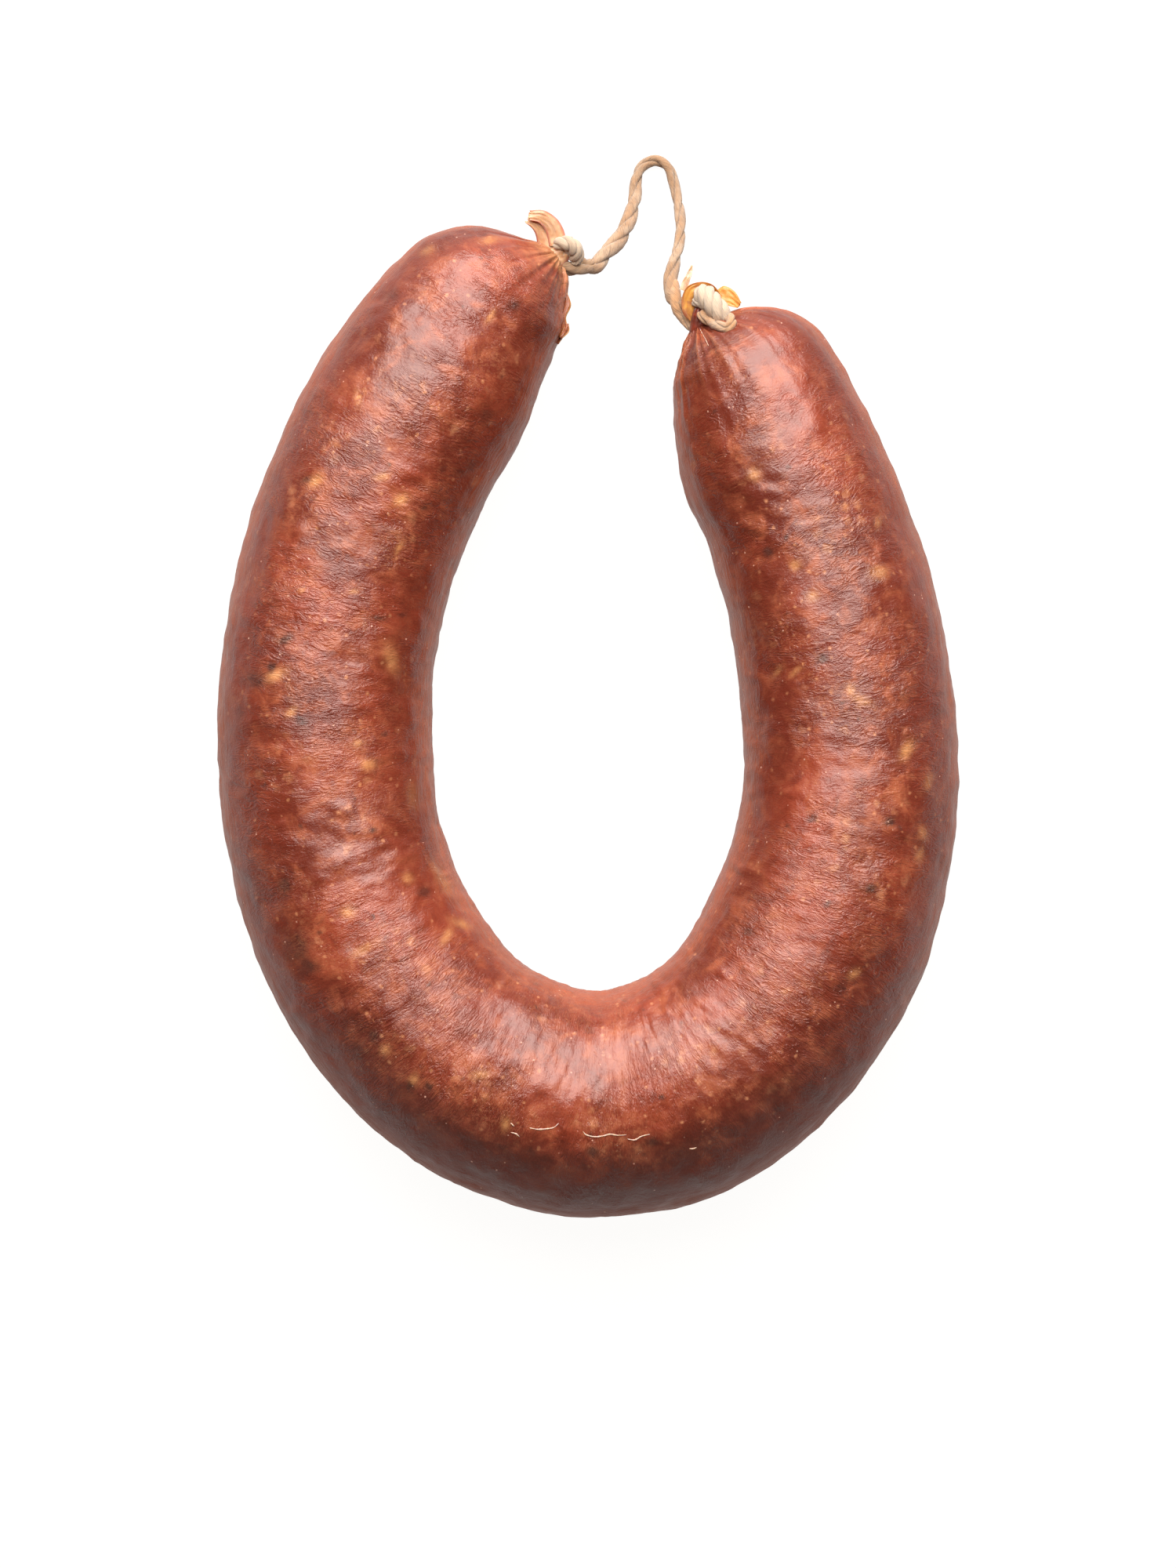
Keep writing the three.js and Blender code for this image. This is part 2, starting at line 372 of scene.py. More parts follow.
def casing_relief(points, laid, up, inner, folds, casing):
    """How far the casing stands in or out from its plain form, in mm."""
    lump, wrinkle, pucker = (d / MM for d in (casing.lump_depth, casing.wrinkle_depth, casing.pucker_depth))
    # uneven filling: broad, middling and small lumps
    height = lump * (0.75 * lumps(points, 17.0, 2, 1) + 0.48 * lumps(points, 6.0, 2, 2))
    height += 0.24 * lump * lumps(laid * (1, 0.7, 0.7), 3.4, 2, 12)
    # wrinkles across the top in patches, that wander to and fro, and streaks along the sides
    wander = lumps(points, 12.0, 1, 8)
    tilted = laid + np.outer(0.25 * laid[:, 1] + 3 * wander, (1, 0, 0))
    crepe = lumps(tilted * (1, 0.36, 0.36), 2.9, 3, 3)
    patch = fade(lumps(laid * (1, 0.6, 0.6), 10.0, 2, 4), -0.3, 0.4)
    height += wrinkle * (np.abs(crepe) * 2 - 0.5) * fade(up, -0.1, 0.6) * (0.25 + patch)
    streaks = lumps(laid * (0.16, 1, 1), 1.9, 2, 5)
    height += 0.6 * wrinkle * streaks * fade(np.abs(up - 0.05), 0.75, 0.3)
    height += pucker * folds
    # two shallow creases where the inside of the bend is pinched: at its middle, and where the left limb starts
    x, y = points[:, 0], points[:, 1]
    off_middle = (x - 2.3) / 3.0
    height -= 0.1 * np.exp(-(off_middle**2)) * fade(inner, 0.45, 1.0) * (y < -20)
    off_limb = ((x + 28.5) * 0.42 - (y + 20.5)) / 2.4
    height -= 0.15 * np.exp(-(off_limb**2)) * fade(inner, 0.25, 0.8) * (x < -20) * (y < 0)
    return height


# Marks that show through the casing, as they line up seen from straight above, in millimetres: x, y,
# half length, half width and the way the mark runs in degrees.
FAT_MARKS = [
    (-37.1, 10.1, 2.4, 1.3, 100), (-41.5, -9.8, 1.2, 0.9, 0), (-43.4, -5.8, 0.7, 0.6, 0),
    (-54.1, 23.1, 0.7, 0.4, 30), (-44.2, 22.8, 0.9, 0.3, 10), (-34.1, -31.2, 1.0, 0.7, 0),
    (-27.6, -30.9, 3.3, 0.9, -62), (-33.1, -15.4, 2.1, 0.9, 95), (-59.0, 7.0, 1.6, 0.9, 20),
    (-56.0, 0.1, 1.0, 0.6, 40), (-18.6, 89.4, 1.3, 0.6, 0), (-30.4, 87.5, 1.3, 0.7, 20), (-18.3, 74.9, 1.2, 0.4, 60),
    (-43.4, 59.3, 1.5, 0.4, 100), (-51.6, 43.8, 1.3, 0.9, 40), (-39.0, 44.5, 1.2, 0.6, 10),
    (-35.3, 40.1, 1.3, 0.9, 20), (-35.6, 31.2, 1.2, 0.4, 60), (31.3, 45.0, 1.0, 0.9, 0), (39.1, 27.8, 0.9, 0.7, 0),
    (54.8, 26.3, 1.5, 1.0, 10), (55.0, 36.1, 1.0, 0.6, 80), (42.3, 21.9, 1.2, 0.9, 20), (35.6, 7.8, 1.3, 0.4, 50),
    (39.1, 7.8, 1.3, 0.4, 40), (64.2, -13.2, 1.5, 0.7, 70), (63.3, -22.8, 1.3, 0.7, 100),
    (62.7, -26.8, 1.2, 0.7, 80), (50.2, -49.3, 1.2, 0.7, 30), (60.2, -7.0, 1.8, 1.0, 60),
    (-15.6, -77.7, 1.2, 0.7, 80), (-24.0, -39.7, 1.9, 0.7, -20), (-26.7, -42.2, 1.5, 0.7, 60),
    (-20.1, -68.4, 1.3, 0.7, 10), (-32.9, -69.3, 1.0, 0.7, 60), (-38.4, -63.8, 0.9, 0.7, 0),
    (-45.2, -37.6, 1.3, 1.0, 0), (-42.8, -45.0, 1.6, 0.7, 30), (49.6, 4.3, 1.1, 0.6, -55), (51.6, 2.4, 2.0, 0.6, -25),
]
DARK_MARKS = [
    (-63.0, 6.1, 1.9, 1.2, -10), (-59.7, 8.6, 0.7, 0.7, 0), (-57.1, 13.8, 1.3, 0.7, 30), (-35.0, 18.5, 1.0, 0.4, 10),
    (-39.3, 17.9, 1.8, 0.4, 0), (-54.1, -1.6, 1.2, 0.7, -30), (-38.3, -4.0, 0.6, 0.4, 0),
    (-40.8, -22.1, 0.9, 0.4, 10), (-57.5, -32.9, 1.2, 1.5, 0), (-31.0, -33.9, 1.2, 0.9, 0),
    (-63.7, -22.1, 0.6, 0.4, 0), (-65.9, 0.1, 0.7, 1.2, 0), (-36.8, 79.0, 0.9, 0.7, 0), (-14.0, 77.0, 1.0, 0.9, 0),
    (-19.3, 56.2, 1.0, 0.9, 30), (-22.0, 46.6, 1.5, 0.9, 60), (-23.8, 45.4, 1.0, 0.6, 0),
    (-27.5, 46.0, 0.7, 0.4, 60), (-53.4, 44.0, 1.0, 0.4, 20), (-30.9, 38.6, 0.7, 0.4, 0),
    (-11.6, 61.3, 0.9, 0.4, 70), (34.0, 30.5, 0.9, 0.7, 0), (44.2, 10.2, 0.9, 0.7, 0), (56.8, -20.6, 0.9, 0.7, 0),
    (42.3, -20.0, 0.9, 0.6, 0), (47.6, -52.1, 0.9, 0.7, 0), (30.0, -41.3, 0.7, 0.6, 0), (45.1, -36.3, 0.6, 0.4, 0),
    (53.4, -33.3, 0.9, 0.7, 0), (-40.6, -61.1, 1.0, 0.9, 0), (-43.7, -64.4, 1.2, 1.5, 0),
    (-33.5, -70.6, 0.7, 0.7, 0), (-55.4, -44.4, 2.1, 3.0, 0), (-53.6, -48.4, 2.1, 1.5, 30),
    (-30.1, -70.6, 0.7, 0.7, 0), (1.0, -83.0, 1.0, 0.9, 0), (-10.7, -83.2, 0.7, 0.9, 0), (-16.4, -82.0, 1.0, 0.6, 0),
    (12.1, -81.0, 1.2, 0.7, 0),
]

# Lines of sight meet at the eye, this many millimetres over the level at which the marks are placed.
EYE_HEIGHT = 740
MARK_LEVEL = 20
MARK_FALLOFF = 0.9  # how fast a mark fades out past its size


def marks(points, rows, up):
    """How strongly each point lies in one of the marks, from 0 to 1, on the upper side only."""
    found = np.zeros(len(points))
    points = points[:, :2] * EYE_HEIGHT / (EYE_HEIGHT + MARK_LEVEL - points[:, 2:3])
    for x, y, half_length, half_width, degrees in rows:
        a = math.radians(degrees)
        dx, dy = points[:, 0] - x, points[:, 1] - y
        along = (dx * math.cos(a) + dy * math.sin(a)) / half_length
        across = (dy * math.cos(a) - dx * math.sin(a)) / half_width
        found = np.maximum(found, np.exp(-MARK_FALLOFF * (along**2 + across**2)))
    return found * (up > 0)


def stuffed_casing():
    """The filled casing, with the masks that its finish follows."""
    casing = settings("sausage_casing")
    form = StuffedForm(casing)

    def beside(neck, points, reach):
        return np.exp(-((np.linalg.norm(points - np.array(neck[0]), axis=1) / reach) ** 2))

    def place(u, v):
        points, radius = form.surface(u, v)
        angle = 2 * np.pi * v
        outward, up = np.sin(angle), np.cos(angle)
        laid = np.column_stack([u * form.run[-1], radius * outward, radius * up])
        folds = gathers(points, LEFT_NECK) + gathers(points, RIGHT_NECK)
        height = casing_relief(points, laid, up, -outward, folds, casing)
        near_tip = np.minimum(radius / TIP_RADIUS, 1)
        shaped = points + grid_normals(points, u, v) * (height * near_tip)[:, None]
        shaped[:, 2] = np.maximum(shaped[:, 2], 0.0)
        back = -points[:, 1]
        return shaped, {
            "laid": laid * MM,
            "upward": up,
            "fat_mark": marks(points, FAT_MARKS, up),
            "dark_mark": marks(points, DARK_MARKS, up),
            "fold": folds,
            "left_end": beside(LEFT_NECK, points, 6.0),
            "right_end": beside(RIGHT_NECK, points, 5.0),
            # where the smoke stain with painted shade lies on the outside of the bend, and the rim where it gives way
            "low_bend": fade(back, 35, 80) * fade(outward, 0.15, 0.55),
            "low_rim": fade(back, 35, 80) * fade(outward, 0.72, 0.92),
            "bend": fade(back, 10, 50),
            # where the painted shade down the sides goes: all but the inside of the bend
            "shaded_flank": 1 - fade(back, 20, 60) * fade(-outward, 0.0, 0.5),
        }

    mesh = rolled_sheet("stuffed_casing", CASING_RINGS, CASING_SIDES, place)
    add_piece(mesh, "stuffed_casing", casing_material(casing), "sausage")


# ---- string and knots -------------------------------------------------------------------------------

# How thick each ply is and how far its middle stands off the string's, as shares of the string's
# diameter, for two, three and four plies.
PLY_SIZES = {2: (0.325, 0.175), 3: (0.28, 0.225), 4: (0.25, 0.27)}
PLY_SIDES = 22
END_CLOSING = 0.6  # millimetres over which a string closes at its ends
TIE_TURNS, TIE_POINTS = 2, 21

# The strands' routes in millimetres, and their swells: shares of the length and the fullness there.
STRING_SWELL = ((0, 0.03, 0.16, 0.3, 0.42, 0.78, 0.86, 0.93, 1.0), (1.05, 1.4, 1.6, 1.36, 1.06, 1.0, 1.3, 1.4, 1.1))
RIGHT_BUNDLE = [(21.6, 79.8, 19.2), (22.1, 79.0, 20.8), (23.3, 77.5, 21.6), (24.6, 75.8, 21.6), (25.7, 74.4, 20.4)]
RIGHT_SWELL = ((0, 0.2, 0.5, 0.85, 1), (0.8, 1.0, 1.05, 1.0, 0.8))
RIGHT_LOOP = [
    (21.3, 76.0, 20.2), (21.7, 74.9, 20.9), (23.1, 73.8, 21.5), (24.7, 72.7, 22.0), (26.2, 72.3, 22.2),
    (26.9, 73.2, 21.6), (26.6, 74.6, 20.8),
]
UNDER_STRAND = [
    (16.3, 82.8, 13.8), (16.3, 80.3, 14.6), (16.9, 78.0, 15.4), (17.8, 76.1, 16.0), (18.8, 74.4, 16.5),
    (19.7, 72.9, 16.9),
]
UNDER_SWELL = ((0, 0.25, 0.6, 1), (0.6, 1.05, 1.0, 0.5))
LEFT_BUNDLE = [
    (-6.0, 88.3, 18.6), (-5.0, 88.9, 19.7), (-3.6, 88.8, 20.2), (-2.5, 87.9, 19.9), (-2.2, 86.8, 18.8),
    (-2.6, 85.8, 17.4),
]
LEFT_SWELL = ((0, 0.25, 0.6, 1), (0.75, 1.0, 1.05, 0.9))
OUT_STRAND = [(-5.8, 85.6, 17.4), (-4.5, 84.7, 17.3), (-2.9, 84.4, 16.9), (-1.0, 84.8, 16.0), (1.0, 85.5, 14.6)]
OUT_SWELL = ((0, 0.3, 1), (0.85, 1.0, 0.92))


def carried_frames(centres):
    """Two directions square to a curve at each of its points, turning as little as they can."""
    along = unit(np.gradient(centres, axis=0))
    first = np.cross(along[0], UP)
    if np.linalg.norm(first) < 0.1:
        first = np.cross(along[0], (1.0, 0, 0))
    side = [unit(first)]
    for direction in along[1:]:
        side.append(unit(side[-1] - direction * (side[-1] @ direction)))
    side = np.array(side)
    return side, np.cross(along, side)


def twisted_string(name, route, diameter, lay, steps, swell=None, seed=0, start_turn=0.0, plies=2):
    """Plies laid round each other along a route in mm, each with its fibres in relief. The lay is the
    length of one full turn, and `swell` makes the string fuller or thinner along its length."""
    ply_radius, ply_arm = PLY_SIZES[plies]
    centres, run = even_curve(route, steps + 1)
    side, other = carried_frames(centres)
    made = []
    for ply in range(plies):
        fullness = 1 + 0.08 * math.sin(2.4 * ply + seed)

        def place(u, v):
            row = row_of(u, steps)
            s = run[row]
            grow = np.ones(len(u)) if swell is None else np.interp(u, *swell)
            near_end = np.maximum(0, np.maximum(END_CLOSING - s, s - run[-1] + END_CLOSING)) / END_CLOSING
            closing = np.sqrt(np.clip(1 - near_end**2, 0, 1))
            drift = lumps(np.column_stack([s / 4.5, np.full_like(s, 0.37), np.full_like(s, 0.61)]), 1.0, 1, seed + 9)
            turn = 2 * np.pi * (s / lay + ply / plies) + start_turn + 0.5 * drift
            arm = side[row] * np.cos(turn)[:, None] + other[row] * np.sin(turn)[:, None]
            square = -side[row] * np.sin(turn)[:, None] + other[row] * np.cos(turn)[:, None]
            angle = 2 * np.pi * v
            ring = np.column_stack([np.cos(angle), np.sin(angle), s / 1.6 * 0.55])
            twist = np.column_stack([np.cos(angle + s * 1.1), np.sin(angle + s * 1.1), s * 0.12])
            strands = lumps(twist * 2.6, 1.0, 2, seed + ply)
            loose = lumps(ring, 1.0, 1, seed + 5 + ply)
            radius = diameter * ply_radius * grow * fullness * (1 + 0.12 * strands + 0.06 * loose) * closing
            centre = centres[row] + arm * (diameter * ply_arm * grow)[:, None]
            oval = arm * np.cos(angle)[:, None] * 0.92 + square * np.sin(angle)[:, None] * 1.12
            return centre + oval * radius[:, None], {
                "laid": np.column_stack([s * 0.25, twist[:, 0], twist[:, 1]]),
                # the side of each ply that faces the others, where painted shade goes
                "groove": fade(-np.cos(angle), 0.2, 0.95),
            }

        made.append(rolled_sheet(f"{name}_ply", steps, PLY_SIDES, place))
    return joined(made, name)


def free_string():
    """The free stretch of string between the two ties."""
    string = settings("sausage_string")
    mesh = twisted_string(
        "free_string", STRING_ROUTE, string.diameter / MM, string.lay / MM, string.steps, STRING_SWELL,
        seed=3, start_turn=0.6,
    )
    add_piece(mesh, "free_string", string_material("smoked_string", string, 1.1, string.tan), "string")


def tie_route(centre, heading, radius, start, first, last):
    """A coil round a neck in mm. It starts `start` degrees round from the neck's right side, and moves
    along the neck from `first` to `last`."""
    along, right = in_plan(np.array(float(heading))), in_plan(np.array(heading - 90.0))
    share = np.linspace(0, 1, TIE_POINTS)[:, None]
    angle = np.radians(start + 360 * TIE_TURNS * share)
    spread = right * np.cos(angle) + UP * np.sin(angle)
    return np.array(centre) + along * (first + (last - first) * share) + spread * radius


def knots(body):
    """Both ties, each out of string pulled tight round its neck."""
    string = settings("sausage_string")
    clean = string_material("clean_string", string, 0.12, string.tan)
    worn = string_material("worn_string", string, 0.3, string.tan)
    stained = string_material("stained_string", string, 1.0, string.tan)
    golden = string_material("golden_string", string, 1.1, string.golden)

    coil = tie_route(centre=(21.9, 77.2, 18.7), heading=65, radius=1.95, start=-150, first=-0.8, last=1.0)
    turns = twisted_string("turns", coil, diameter=1.9, lay=7.5, steps=150, seed=11)
    bundle = twisted_string(
        "bundle", RIGHT_BUNDLE, diameter=4.1, lay=8.0, steps=130, swell=RIGHT_SWELL, seed=13, start_turn=0.5, plies=4
    )
    right_knot = add_piece(joined([turns, bundle], "right_knot"), "right_knot", clean, "tie_right")
    route = on_surface(body, RIGHT_LOOP, clear=0.8)
    loop = twisted_string("right_loop", route, diameter=2.1, lay=14.0, steps=90, seed=23)
    add_piece(loop, "right_loop", golden)
    strand = twisted_string(
        "under_strand", UNDER_STRAND, diameter=3.2, lay=16.0, steps=90, swell=UNDER_SWELL, seed=27
    )
    add_piece(strand, "under_strand", golden)

    coil = tie_route(centre=(-3.7, 88.3, 17.5), heading=45, radius=1.75, start=-60, first=-0.7, last=0.7)
    turns = twisted_string("turns", coil, diameter=1.5, lay=6.5, steps=120, seed=31)
    bundle = twisted_string(
        "bundle", LEFT_BUNDLE, diameter=3.0, lay=5.5, steps=120, swell=LEFT_SWELL, seed=37, plies=3
    )
    left_knot = add_piece(joined([turns, bundle], "left_knot"), "left_knot", worn, "tie_left")
    strand = twisted_string("out_strand", OUT_STRAND, diameter=3.1, lay=16.0, steps=80, swell=OUT_SWELL, seed=41)
    add_piece(strand, "out_strand", stained)
    return left_knot, right_knot


def on_surface(body, points, clear):
    """The points lifted, where they would sink in, to stand `clear` mm above the body."""
    mesh = body.data
    tree = BVHTree.FromPolygons([v.co for v in mesh.vertices], [p.vertices for p in mesh.polygons])
    lifted = []
    for x, y, z in points:
        hit = tree.ray_cast(Vector((x * MM, y * MM, 0.1)), Vector((0, 0, -1)))[0]
        top = hit.z / MM + clear if hit else z
        lifted.append((x, y, max(z, top)))
    return lifted


# ---- casing ends ------------------------------------------------------------------------------------

# The pieces of empty casing, each with its finish and the flaps that make it. A flap has rows in
# millimetres and degrees (x, y, z, half its width and the way the width faces), then its thickness, how
# far its edges curl up, its steps, how ragged its far edge is and a seed.
CASING_END_PIECES = [
    ("left_casing_end", "peach_casing", [
        ([(-9.0, 85.4, 17.4, 3.6, -45), (-6.6, 86.5, 17.6, 2.7, -45), (-5.0, 87.3, 17.6, 1.9, -45),
          (-3.7, 88.3, 17.6, 1.3, -45), (-2.3, 89.7, 17.7, 1.1, -45)], 1.9, 0.2, 50, 0.0, 3),
        ([(-5.9, 88.6, 18.3, 1.5, 0), (-6.0, 90.4, 18.6, 1.7, 12), (-6.9, 92.4, 19.2, 1.55, 42),
          (-8.9, 93.9, 20.0, 1.25, 68), (-11.3, 94.0, 20.8, 0.95, 84)], 0.7, 0.5, 80, 0.5, 5),
        ([(-7.7, 87.6, 17.9, 1.9, 0), (-8.0, 89.6, 18.2, 1.7, 12), (-8.9, 91.6, 18.8, 1.4, 38),
          (-10.3, 92.7, 19.4, 0.95, 60), (-11.6, 93.2, 19.9, 0.6, 72)], 0.5, 0.35, 70, 0.5, 8),
    ]),
    ("dried_scrap", "dried_casing", [
        ([(-4.4, 79.8, 17.6, 0.5, 0), (-4.0, 77.4, 18.2, 0.8, 0), (-4.7, 75.0, 18.8, 0.6, 5),
          (-4.9, 72.6, 19.0, 1.0, 5), (-6.0, 70.0, 19.0, 0.5, -10)], 0.7, 0.2, 90, 0.0, 21),
        ([(-3.9, 73.6, 19.5, 0.3, 10), (-4.3, 72.2, 19.8, 0.7, 0), (-5.2, 70.9, 20.0, 0.3, -20)],
         0.6, 0.1, 40, 0.2, 25),
    ]),
    ("right_casing_end", "amber_casing", [
        ([(20.2, 74.4, 18.2, 0.8, 200), (19.2, 76.0, 18.7, 1.3, 185), (19.0, 78.3, 19.2, 1.3, 165),
          (19.6, 79.9, 19.8, 1.15, 135), (21.3, 80.6, 20.1, 0.9, 95), (23.0, 80.3, 20.0, 0.8, 60),
          (24.2, 79.0, 19.4, 0.75, 20), (24.6, 77.6, 18.6, 0.6, 0)], 0.28, 0.9, 110, 0.2, 12),
    ]),
    ("right_casing_ear", "golden_casing", [
        ([(24.0, 79.2, 18.6, 0.9, 75), (25.2, 79.3, 18.9, 1.75, 70), (26.8, 78.6, 19.2, 1.55, 58),
          (28.6, 77.2, 19.2, 0.6, 50)], 0.34, 0.4, 60, 0.2, 14),
    ]),
    ("frayed_sliver", "pale_casing", [
        ([(18.0, 80.2, 18.2, 0.8, -20), (18.6, 82.0, 18.6, 0.65, -20), (19.3, 83.6, 19.0, 0.45, -15),
          (19.6, 84.8, 19.2, 0.2, 10)], 0.2, 0.1, 40, 0.3, 15),
    ]),
    ("right_neck", "gathered_casing", [
        ([(21.4, 72.8, 17.6, 2.3, 10), (20.9, 74.4, 18.3, 1.5, 0), (21.2, 76.0, 18.7, 1.3, -20),
          (22.6, 78.8, 18.7, 1.1, -25)], 1.5, 0.2, 50, 0.0, 9),
    ]),
]
FLAP_SIDES = 36


def flap(rows, thickness, curl, steps, ragged, seed):
    """A thin flap of casing along its rows."""
    rows = np.array(rows, float)
    shares = np.linspace(0, 1, steps + 1)
    middle = smooth_curve(rows[:, :3], shares)
    along = unit(np.gradient(middle, axis=0))
    width = smooth_curve(in_plan(rows[:, 4]) * rows[:, 3:4], shares)
    normal = unit(np.cross(width, along))
    normal *= np.where(normal[:, 2:3] < 0, -1, 1)

    def place(u, v):
        row = row_of(u, steps)
        angle = 2 * np.pi * v
        across = np.cos(angle)
        flat = np.zeros(len(u))
        slip = ragged * lumps(np.column_stack([across * 2.2, flat, flat]), 1.0, 3, seed) * u**3
        crinkle = lumps(np.column_stack([across * 1.6, u * 2.2, flat]), 1.0, 3, seed + 3)
        pinch = np.sin(np.pi * np.clip(u * 0.5 + 0.5, 0, 1)) ** 0.25
        skin = thickness * np.sin(angle) * pinch * (1 + 0.3 * crinkle)
        lift = curl * across**2 * fade(u, 0.1, 0.8) + 0.35 * crinkle * fade(u, 0.0, 0.5)
        points = middle[row] + width[row] * across[:, None] + normal[row] * (skin + lift)[:, None]
        points = points + along[row] * slip[:, None]
        return points, {"laid": np.column_stack([u, across, np.sin(angle)]), "edge": np.abs(across)}

    return rolled_sheet("flap", steps, FLAP_SIDES, place)


def casing_ends():
    """The gathered necks and the empty casing beyond the ties."""
    ends, casing = settings("sausage_ends"), settings("sausage_casing")
    tones = {
        "amber_casing": (ends.amber, ends.rim, ends.rim),
        "golden_casing": (ends.golden, ends.amber, ends.golden),
        "peach_casing": (ends.peach, ends.tan, ends.blush),
        "pale_casing": (ends.pale, ends.peach, ends.pale),
        "dried_casing": (ends.crust, ends.rim, ends.amber),
        "gathered_casing": (casing.deep, casing.middle, casing.deep),
    }
    finishes = {name: dry_material(name, *tones[name], ends.rib) for name in tones}
    for name, finish, flaps in CASING_END_PIECES:
        mesh = joined([flap(*shape) for shape in flaps], name)
        add_piece(mesh, name, finishes[finish])


# Cracks in the casing where pale skin lifts, in millimetres seen from straight above.
CRACKS = [
    [(-1.0, -78.0), (-0.4, -78.7), (1.4, -79.1), (2.9, -78.9), (4.1, -78.6), (5.5, -78.8), (7.3, -78.7)],
    [(7.3, -79.5), (8.7, -79.7), (10.0, -79.0), (11.6, -78.6)],
    [(-14.4, -76.5), (-14.0, -76.9), (-13.7, -77.2)],
    [(-11.0, -77.4), (-9.5, -77.7), (-7.5, -77.6), (-6.3, -77.3), (-5.4, -76.5)],
    [(-14.4, -78.3), (-13.4, -78.6), (-12.7, -79.2)],
    [(18.9, -81.5), (19.6, -81.5), (20.3, -81.3)],
    [(21.4, 73.9), (21.9, 72.5), (22.9, 69.7)],
]
CRACK_LEVEL = 30  # the height in millimetres that they line up at
CRACK_ROWS, CRACK_SIDES = 40, 6
CRACK_SIZE = 0.15  # half the width of a ridge, in millimetres


def cracks(body):
    """Hair-thin ridges of lifted skin lying on the casing."""
    ends = settings("sausage_ends")
    shrink = (EYE_HEIGHT + MARK_LEVEL - CRACK_LEVEL) / EYE_HEIGHT
    steps = CRACK_ROWS - 1
    meshes = []
    for number, line in enumerate(CRACKS):
        flat = smooth_curve([(x * shrink, y * shrink, 0) for x, y in line], np.linspace(0, 1, CRACK_ROWS))
        laid = np.array(on_surface(body, flat, 0.0))
        sideways = unit(np.gradient(laid, axis=0)) @ np.array([[0, 1, 0], [-1, 0, 0], [0, 0, 0]])

        def place(u, v):
            row = row_of(u, steps)
            taper = np.sin(np.pi * np.clip(u, 0, 1)) ** 0.4
            rough = 1 + 0.5 * lumps(laid[row], 0.5, 1, 40 + number)
            angle = 2 * np.pi * v
            spread = sideways[row] * np.cos(angle)[:, None] + UP * 0.8 * np.sin(angle)[:, None]
            points = laid[row] + spread * (CRACK_SIZE * taper * rough)[:, None]
            return points, {"laid": points, "edge": np.zeros(len(u))}

        meshes.append(rolled_sheet("crack", steps, CRACK_SIDES, place))
    lifted = dry_material("lifted_skin", ends.crack, ends.crack, ends.crack, ends.rib)
    add_piece(joined(meshes, "lifted_skin"), "lifted_skin", lifted)


# ---- materials --------------------------------------------------------------------------------------


class Finish:
    """A node tree with short calls for the nodes that the finishes use."""

    def __init__(self, tree):
        self.tree = tree

    def fill(self, made, inputs):
        """Join or set each input of a node."""
        for key, value in inputs.items():
            if isinstance(value, bpy.types.NodeSocket):
                self.tree.links.new(value, made.inputs[key])
            else:
                made.inputs[key].default_value = value

    def add(self, kind, inputs=None, **options):
        made = self.tree.nodes.new(kind)
        for key, value in options.items():
            setattr(made, key, value)
        self.fill(made, inputs or {})
        return made

    def math(self, operation, a, b=0.0, clamp=False):
        return self.add("ShaderNodeMath", {0: a, 1: b}, operation=operation, use_clamp=clamp).outputs[0]

    def times(self, first, *others):
        for other in others:
            first = self.math("MULTIPLY", first, other)
        return first

    def total(self, first, *others):
        for other in others:
            first = self.math("ADD", first, other)
        return first

    def span(self, value, low, high, to_low=0.0, to_high=1.0):
        inputs = {"Value": value, "From Min": low, "From Max": high, "To Min": to_low, "To Max": to_high}
        return self.add("ShaderNodeMapRange", inputs, interpolation_type="SMOOTHSTEP").outputs["Result"]

    def blend(self, factor, a, b):
        a, b = (tone if isinstance(tone, bpy.types.NodeSocket) else (*tone, 1) for tone in (a, b))
        made = self.add("ShaderNodeMix", data_type="RGBA", blend_type="MIX")
        self.fill(made, {0: factor, 6: a, 7: b})
        return made.outputs[2]

    def noise(self, vector, scale, detail=2.0, roughness=0.5, distortion=0.0):
        inputs = {"Vector": vector, "Scale": scale, "Detail": detail, "Roughness": roughness, "Distortion": distortion}
        return self.add("ShaderNodeTexNoise", inputs).outputs["Fac"]

    def vector_math(self, operation, inputs):
        return self.add("ShaderNodeVectorMath", inputs, operation=operation).outputs[0]

    def stretched(self, vector, scale, move=(0, 0, 0)):
        return self.add("ShaderNodeMapping", {"Vector": vector, "Scale": scale, "Location": move}).outputs[0]

    def attribute(self, name, output="Fac"):
        return self.add("ShaderNodeAttribute", attribute_name=name, attribute_type="GEOMETRY").outputs[output]

    def place(self):
        return self.add("ShaderNodeTexCoord").outputs["Object"]

    def relief(self, height):
        """A bump out of heights in millimetres."""
        return self.add("ShaderNodeBump", {"Height": height, "Distance": MM, "Strength": 1.0}).outputs[0]

    def crumbs(self, vector, scale, size, softness, share, wobble):
        inputs = {"Vector": vector, "Scale": scale, "Size": size, "Softness": softness, "Share": share}
        made = self.add("ShaderNodeGroup", node_tree=crumbs_group())
        self.fill(made, {**inputs, "Wobble": wobble})
        return made.outputs["Mask"]

    def crepe(self, laid, stretch, scale, bend):
        made = self.add("ShaderNodeGroup", node_tree=crepe_group())
        self.fill(made, {"Vector": self.stretched(laid, stretch), "Scale": scale, "Bend": bend})
        return made.outputs["Height"]


def new_group(name, numbers, output):
    """A node group that takes a vector and the numbers, each with its default, and puts out one value."""
    tree = bpy.data.node_groups.new(name, "ShaderNodeTree")
    tree.interface.new_socket("Vector", in_out="INPUT", socket_type="NodeSocketVector")
    for label, default in numbers.items():
        socket = tree.interface.new_socket(label, in_out="INPUT", socket_type="NodeSocketFloat")
        socket.default_value = default
    tree.interface.new_socket(output, in_out="OUTPUT", socket_type="NodeSocketFloat")
    entry = tree.nodes.new("NodeGroupInput").outputs
    leave = tree.nodes.new("NodeGroupOutput")
    return tree, Finish(tree), entry, leave


